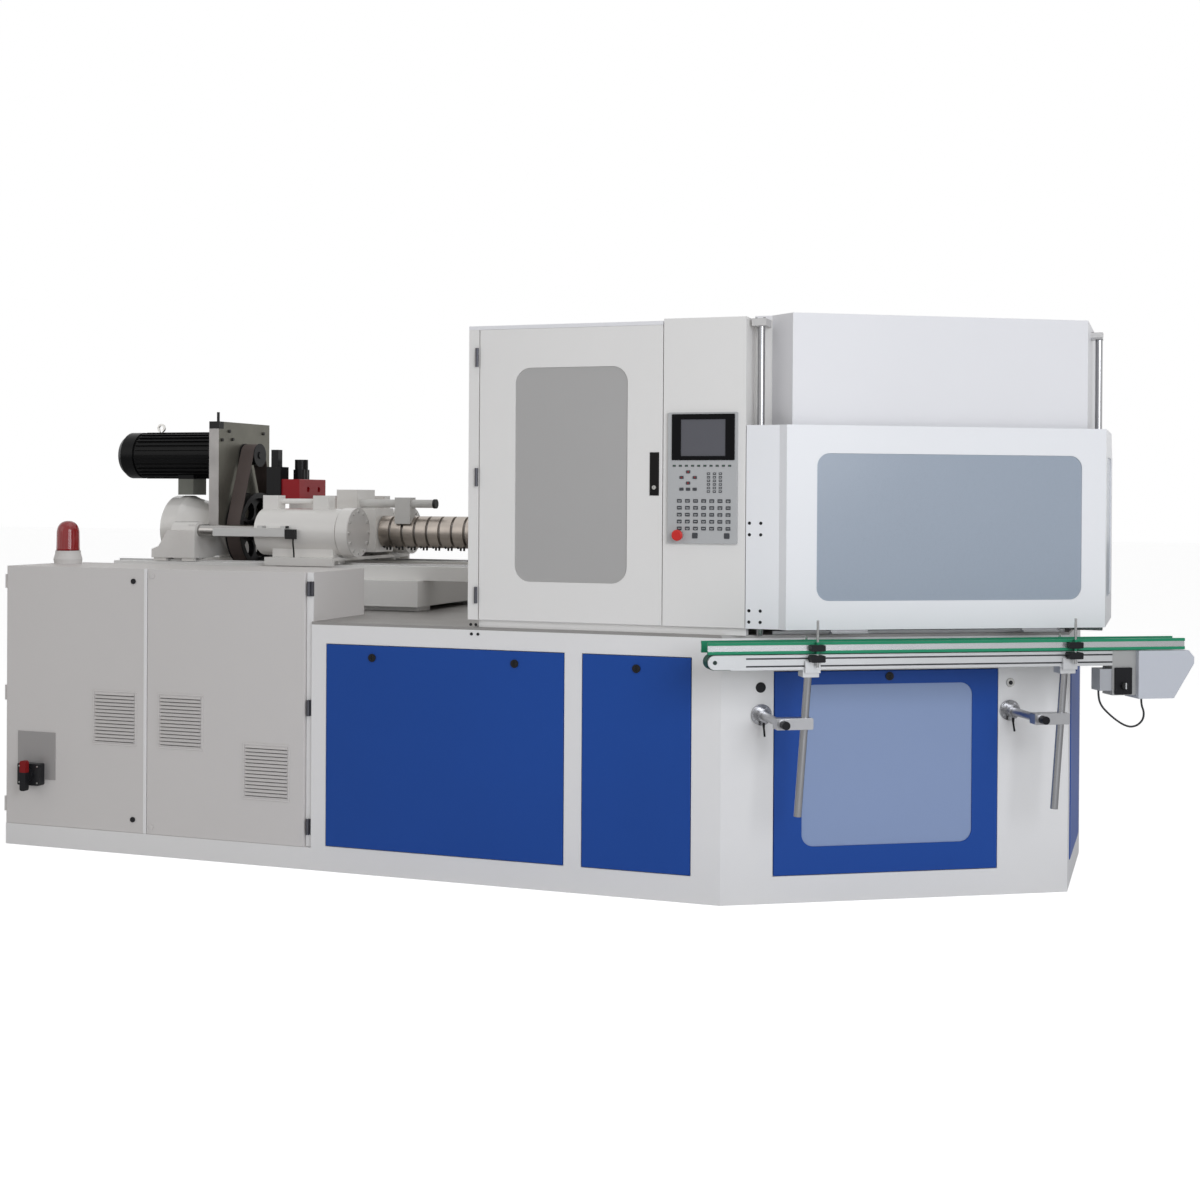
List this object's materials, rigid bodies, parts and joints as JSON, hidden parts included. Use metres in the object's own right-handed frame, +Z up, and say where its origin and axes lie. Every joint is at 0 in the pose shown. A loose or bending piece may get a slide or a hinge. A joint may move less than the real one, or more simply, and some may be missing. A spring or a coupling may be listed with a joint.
{
  "type": "injection blow molding machine",
  "caption": "Rotary-table injection blow moulding machine with a belt-driven screw unit, cabinet base, enclosure with sliding guard, and side take-out conveyor.",
  "frame": {"origin": "on the floor, under the axis of the index table", "axes": "+X along the machine away from the injection unit, -Y towards the operator, +Z up"},
  "size_m": [5.2758, 2.6299, 2.323],
  "materials": {
    "white_paint": "satin paint",
    "grey_deck": "ground steel",
    "blue_paint": "satin paint",
    "cabinet_paint": "satin paint",
    "frosted_pane": "frosted sheet",
    "cast_white": "painted casting",
    "ground_steel": "ground",
    "band_steel": "heat-tinted sheet",
    "chrome_rod": "hard chrome",
    "black_paint": "satin black",
    "black_plastic": "moulded",
    "red_paint": "satin paint",
    "red_lens": "translucent moulding",
    "panel_grey": "satin paint",
    "white_plastic": "moulded",
    "belt_rubber": "moulded rubber",
    "green_profile": "green coated",
    "plain_profile": "anodised",
    "conveyor_band": "belt",
    "mould_steel": "ground",
    "cable_jacket": "cable jacket"
  },
  "bodies": {
    "machine": {"base_frame": "white_paint", "deck_plate": "grey_deck", "rear_panels": "blue_paint", "electric_cabinet": "cabinet_paint", "beacon_base": "white_plastic", "beacon_lens": "red_lens", "front_enclosure": "white_paint", "rear_enclosure": "white_paint", "upper_hood": "white_paint", "guide_rods": "chrome_rod", "door_hinges": "white_paint", "control_panel": "panel_grey", "rail_beams": "white_paint", "press_frames": "cast_white", "wall_flanges": "ground_steel"},
    "cabinet_door_left": {"cabinet_door_left": "cabinet_paint"},
    "isolator_handle": {"isolator_handle": "black_plastic"},
    "cabinet_door_right": {"cabinet_door_right": "cabinet_paint"},
    "enclosure_door": {"enclosure_door": "white_paint", "enclosure_window": "frosted_pane"},
    "enclosure_handle": {"enclosure_handle": "black_plastic"},
    "emergency_stop": {"emergency_stop": "red_lens"},
    "sliding_guard": {"guard_shell": "white_paint", "guard_windows": "frosted_pane"},
    "front_panel_wide": {"front_panel_wide": "blue_paint"},
    "front_panel_narrow": {"front_panel_narrow": "blue_paint"},
    "window_panel": {"window_panel": "blue_paint", "window_pane": "frosted_pane"},
    "end_panel": {"end_panel": "blue_paint"},
    "injection_carriage": {"carriage": "cast_white", "injection_cylinders": "cast_white", "barrel": "ground_steel", "heater_bands": "band_steel", "feed_throat": "cast_white", "position_transducer": "plain_profile", "transducer_cable": "cable_jacket", "hydraulic_manifold": "red_paint", "hydraulic_valves": "black_paint", "heater_conduit": "cast_white"},
    "drive_head": {"thrust_housing": "cast_white", "motor_plate": "ground_steel", "drive_motor": "black_paint", "drive_belt": "belt_rubber"},
    "screw": {"screw": "ground_steel", "screw_pulley": "black_paint"},
    "motor_pulley": {"motor_pulley": "black_paint"},
    "injection_platen": {"injection_platen": "mould_steel"},
    "blow_platen": {"blow_platen": "mould_steel"},
    "table_column": {"table_column": "chrome_rod"},
    "index_table": {"table_head": "cast_white", "core_rods": "mould_steel"},
    "support_arms": {"support_arms": "chrome_rod"},
    "conveyor": {"conveyor_posts": "chrome_rod", "conveyor_frame": "plain_profile", "conveyor_belt": "conveyor_band", "drive_housing": "white_paint", "drive_cable": "cable_jacket"},
    "idler_roller": {"idler_roller": "black_plastic"},
    "guide_rails": {"guide_rails": "green_profile"},
    "speed_knob": {"speed_knob": "black_plastic"}
  },
  "joints": [
    {"name": "left_door_hinge", "type": "hinge", "parent": "machine", "child": "cabinet_door_left", "pos_m": [-3.574, -1.128, 0.683], "axis": [0, 0, 1], "range_deg": [-110, 0]},
    {"name": "isolator_turn", "type": "hinge", "parent": "cabinet_door_left", "child": "isolator_handle", "pos_m": [-3.41, -1.1843, 0.331], "axis": [0, -1, 0], "range_deg": [0, 90]},
    {"name": "right_door_hinge", "type": "hinge", "parent": "machine", "child": "cabinet_door_right", "pos_m": [-2.014, -1.136, 0.683], "axis": [0, 0, 1], "range_deg": [0, 110]},
    {"name": "enclosure_door_hinge", "type": "hinge", "parent": "machine", "child": "enclosure_door", "pos_m": [-1.23, -1.157, 1.689], "axis": [0, 0, 1], "range_deg": [-110, 0]},
    {"name": "enclosure_handle_pull", "type": "hinge", "parent": "enclosure_door", "child": "enclosure_handle", "pos_m": [-0.4857, -1.15, 1.694], "axis": [0, 0, 1], "range_deg": [-40, 0], "stiffness_Nm_per_rad": 2},
    {"name": "emergency_stop_press", "type": "slide", "parent": "machine", "child": "emergency_stop", "axis": [0, 1, 0], "range_m": [0, 0.005]},
    {"name": "guard_lift", "type": "slide", "parent": "machine", "child": "sliding_guard", "axis": [0, 0, 1], "range_m": [0, 0.42]},
    {"name": "wide_panel_pull", "type": "slide", "parent": "machine", "child": "front_panel_wide", "axis": [0, -1, 0], "range_m": [0, 0.15]},
    {"name": "narrow_panel_pull", "type": "slide", "parent": "machine", "child": "front_panel_narrow", "axis": [0, -1, 0], "range_m": [0, 0.15]},
    {"name": "window_panel_pull", "type": "slide", "parent": "machine", "child": "window_panel", "axis": [0.5, -0.866, 0], "range_m": [0, 0.15]},
    {"name": "end_panel_pull", "type": "slide", "parent": "machine", "child": "end_panel", "axis": [1, 0, 0], "range_m": [0, 0.15]},
    {"name": "carriage_traverse", "type": "slide", "parent": "machine", "child": "injection_carriage", "axis": [1, 0, 0], "range_m": [-0.15, 0]},
    {"name": "injection_stroke", "type": "slide", "parent": "injection_carriage", "child": "drive_head", "axis": [1, 0, 0], "range_m": [0, 0.1]},
    {"name": "screw_spin", "type": "hinge", "parent": "drive_head", "child": "screw", "pos_m": [-2.965, 0, 1.424], "axis": [1, 0, 0], "continuous": true},
    {"name": "motor_spin", "type": "hinge", "parent": "drive_head", "child": "motor_pulley", "pos_m": [-2.965, 0, 1.803], "axis": [1, 0, 0], "continuous": true},
    {"name": "injection_close", "type": "slide", "parent": "machine", "child": "injection_platen", "axis": [0, 0, 1], "range_m": [-0.1197, 0]},
    {"name": "blow_close", "type": "slide", "parent": "machine", "child": "blow_platen", "axis": [0, 0, 1], "range_m": [-0.1197, 0]},
    {"name": "table_lift", "type": "slide", "parent": "machine", "child": "table_column", "axis": [0, 0, 1], "range_m": [-0.04, 0]},
    {"name": "table_index", "type": "hinge", "parent": "table_column", "child": "index_table", "pos_m": [0, 0, 1.464], "axis": [0, 0, 1], "range_deg": [0, 360]},
    {"name": "conveyor_reach", "type": "slide", "parent": "machine", "child": "support_arms", "axis": [0.5, -0.866, 0], "range_m": [-0.05, 0.05]},
    {"name": "conveyor_height", "type": "slide", "parent": "support_arms", "child": "conveyor", "axis": [0.0604, 0.0349, 0.9976], "range_m": [-0.1, 0.1]},
    {"name": "idler_spin", "type": "hinge", "parent": "conveyor", "child": "idler_roller", "pos_m": [-0.15093, -1.41767, 0.984], "axis": [0.5, -0.866, 0], "continuous": true},
    {"name": "rail_height", "type": "slide", "parent": "conveyor", "child": "guide_rails", "axis": [0, 0, 1], "range_m": [-0.004, 0.04]},
    {"name": "speed_knob_turn", "type": "hinge", "parent": "conveyor", "child": "speed_knob", "pos_m": [1.30214, -0.63647, 0.876], "axis": [0.5, -0.866, 0], "range_deg": [0, 270]}
  ],
  "couplings": [
    {"joint": "motor_spin", "follows": "screw_spin", "ratio": 3.6},
    {"joint": "blow_close", "follows": "injection_close", "ratio": 1},
    {"joint": "table_lift", "follows": "injection_close", "ratio": 0.334}
  ]
}
